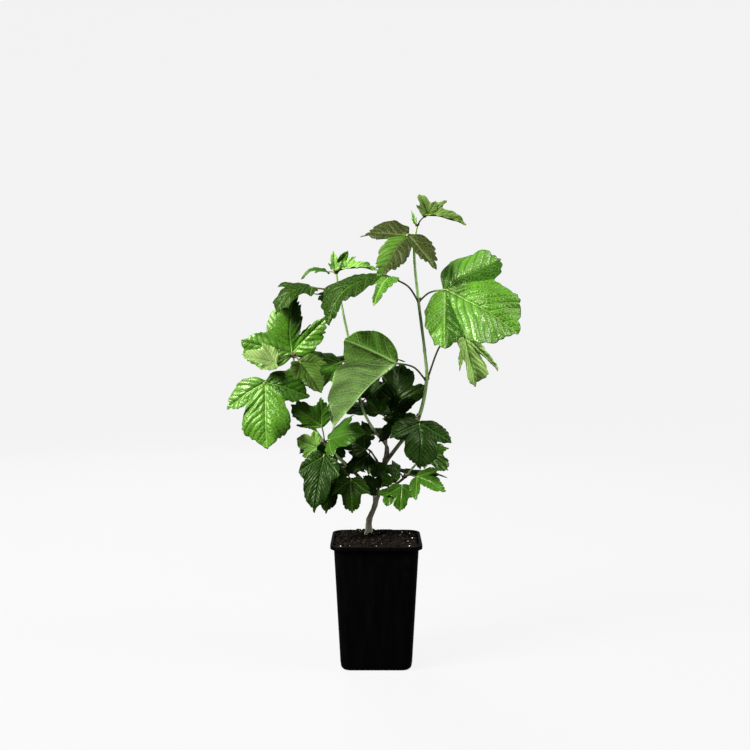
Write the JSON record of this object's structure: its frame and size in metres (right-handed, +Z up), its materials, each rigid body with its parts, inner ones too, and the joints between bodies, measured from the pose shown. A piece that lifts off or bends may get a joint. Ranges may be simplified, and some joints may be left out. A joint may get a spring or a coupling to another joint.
{
  "type": "potted snowball viburnum",
  "caption": "Young snowball viburnum with three leafy shoots, standing in a deep square black nursery pot.",
  "frame": {"origin": "middle of the pot's flat underside", "axes": "+Z up along the pot's upright axis, +X to the right and -Y towards the viewer of the front"},
  "size_m": [0.2844, 0.1668, 0.4672],
  "materials": {
    "pot_plastic": "black moulded plastic, faint sheen",
    "soil": "moist peat-based potting soil with white grains",
    "bark": "thin grey-beige young bark",
    "green_wood": "smooth green to purple-brown young shoots",
    "foliage": "satin, slightly wrinkled green leaves"
  },
  "bodies": {
    "root": {"pot": "pot_plastic", "potting_soil": "soil", "trunk": "bark", "tall_shoot": "green_wood", "middle_shoot": "green_wood", "left_shoot": "green_wood", "centre_twig": "green_wood", "inner_twig": "green_wood", "lower_left_twig": "green_wood", "lower_right_twig": "green_wood", "tall_shoot_crown": "foliage", "tall_shoot_middle_leaves": "foliage", "tall_shoot_low_leaves": "foliage", "middle_shoot_crown": "foliage", "middle_shoot_low_leaves": "foliage", "left_shoot_crown": "foliage", "left_shoot_low_leaves": "foliage", "lower_left_leaves": "foliage", "inner_leaves": "foliage", "centre_leaves": "foliage", "lower_right_leaves": "foliage"}
  },
  "joints": []
}
